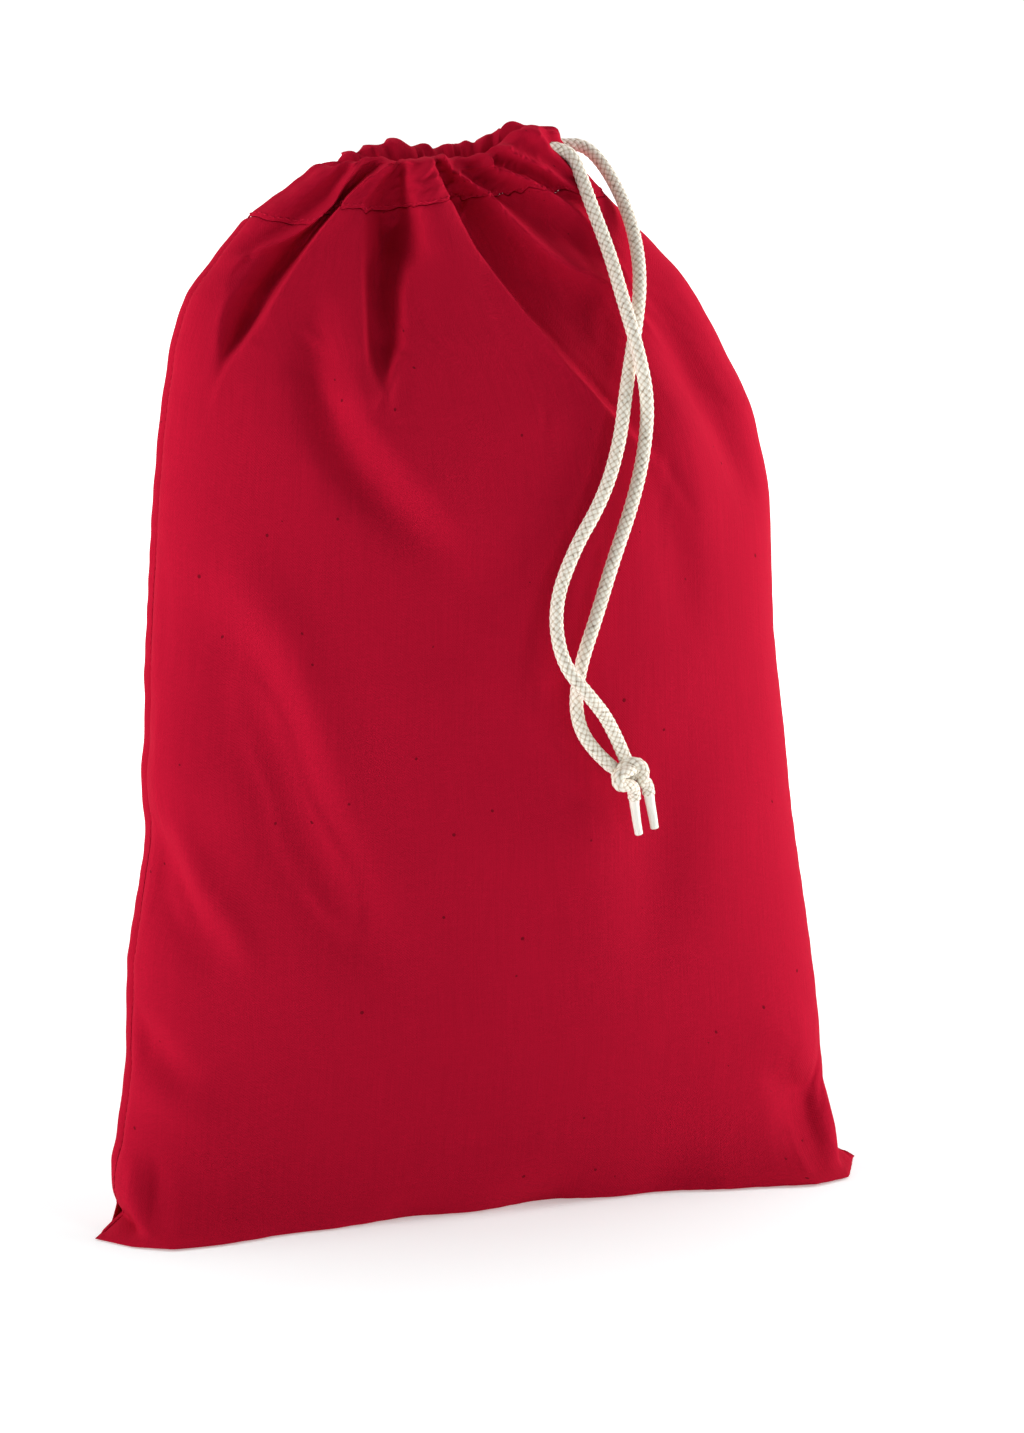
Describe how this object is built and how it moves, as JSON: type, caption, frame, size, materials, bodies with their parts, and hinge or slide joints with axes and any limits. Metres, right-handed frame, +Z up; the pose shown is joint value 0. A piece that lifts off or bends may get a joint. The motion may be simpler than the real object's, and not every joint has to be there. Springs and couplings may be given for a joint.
{
  "type": "fabric gift sack",
  "caption": "Standing red cotton sack, gathered at the neck by a natural braided drawcord that runs through a casing and hangs down the front in a knot.",
  "frame": {"origin": "on the floor, under the middle of the sack's base", "axes": "+Z up, +X along the base towards the side where the drawcord comes out, -Y towards the front with the knot"},
  "size_m": [0.299, 0.1261, 0.398],
  "materials": {
    "red_cotton": "matte plain weave",
    "seam_allowance": "matte overlocked cloth edge",
    "red_thread": "matte sewing thread",
    "natural_cord": "matte braided cotton",
    "dipped_cord_end": "stiffened, slightly smooth"
  },
  "bodies": {
    "sack": {"front_panel": "red_cotton", "back_panel": "red_cotton", "left_side_seam": "seam_allowance", "right_side_seam": "seam_allowance", "bottom_seam": "seam_allowance"},
    "neck": {"front_casing": "red_cotton", "back_casing": "red_cotton", "front_casing_stitching": "red_thread", "back_casing_stitching": "red_thread", "drawcord_in_casing": "natural_cord"},
    "cord_leads": {"drawcord_front_lead": "natural_cord", "drawcord_back_lead": "natural_cord"},
    "tails": {"drawcord_front_strand": "natural_cord", "drawcord_back_strand": "natural_cord", "drawcord_knot": "natural_cord", "front_cord_tip": "dipped_cord_end", "back_cord_tip": "dipped_cord_end"}
  },
  "joints": [
    {"name": "neck_lean", "type": "hinge", "parent": "sack", "child": "neck", "pos_m": [-0.013, 0, 0.362], "axis": [0, 1, 0], "range_deg": [-12, 0]},
    {"name": "cord_pull", "type": "slide", "parent": "neck", "child": "cord_leads", "axis": [1, 0, 0], "range_m": [0, 0.04]},
    {"name": "tails_swing", "type": "hinge", "parent": "cord_leads", "child": "tails", "pos_m": [0.032, 0, 0.389], "axis": [-1, 0, 0], "range_deg": [0, 90]}
  ]
}
